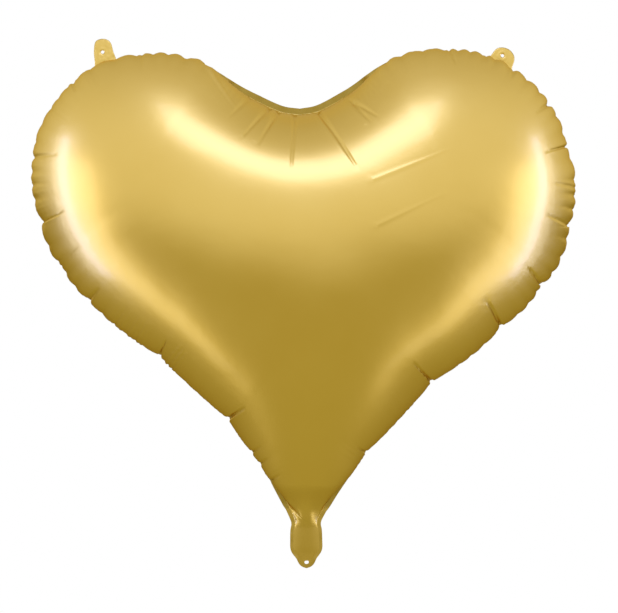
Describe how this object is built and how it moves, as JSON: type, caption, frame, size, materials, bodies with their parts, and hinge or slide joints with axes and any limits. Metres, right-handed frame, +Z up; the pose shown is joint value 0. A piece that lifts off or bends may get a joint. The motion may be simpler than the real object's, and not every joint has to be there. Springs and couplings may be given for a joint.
{
  "type": "heart-shaped foil balloon",
  "caption": "Filled heart-shaped foil balloon of two welded films, with a self-sealing valve, a folding filling tail and punched hanging tabs.",
  "frame": {"origin": "middle of the filled balloon, in the plane of the welded seam", "axes": "+X right along the longest extent, +Y to the back across the puffed depth, +Z up from tail to lobes"},
  "size_m": [0.6212, 0.2502, 0.6127],
  "materials": {
    "gold_foil": "satin metallised film, gold",
    "valve_film": "clear to milky polyethylene film"
  },
  "bodies": {
    "heart": {"front_panel": "gold_foil", "back_panel": "gold_foil", "valve_front_film": "valve_film", "valve_back_film": "valve_film"},
    "tail": {"tail_front_film": "gold_foil", "tail_back_film": "gold_foil", "tail_valve_front": "valve_film", "tail_valve_back": "valve_film"},
    "left_tab": {"left_tab_front": "gold_foil", "left_tab_back": "gold_foil"},
    "right_tab": {"right_tab_front": "gold_foil", "right_tab_back": "gold_foil"}
  },
  "joints": [
    {"name": "tail_fold", "type": "hinge", "parent": "heart", "child": "tail", "pos_m": [0, 0, -0.2585], "axis": [1, 0, 0], "range_deg": [-90, 90], "stiffness_Nm_per_rad": 0.0008},
    {"name": "left_tab_fold", "type": "hinge", "parent": "heart", "child": "left_tab", "pos_m": [-0.2275, 0, 0.279], "axis": [0.9135, 0, 0.4067], "range_deg": [-90, 90], "stiffness_Nm_per_rad": 0.0003},
    {"name": "right_tab_fold", "type": "hinge", "parent": "heart", "child": "right_tab", "pos_m": [0.2325, 0, 0.2745], "axis": [0.8988, 0, -0.4384], "range_deg": [-90, 90], "stiffness_Nm_per_rad": 0.0003}
  ]
}
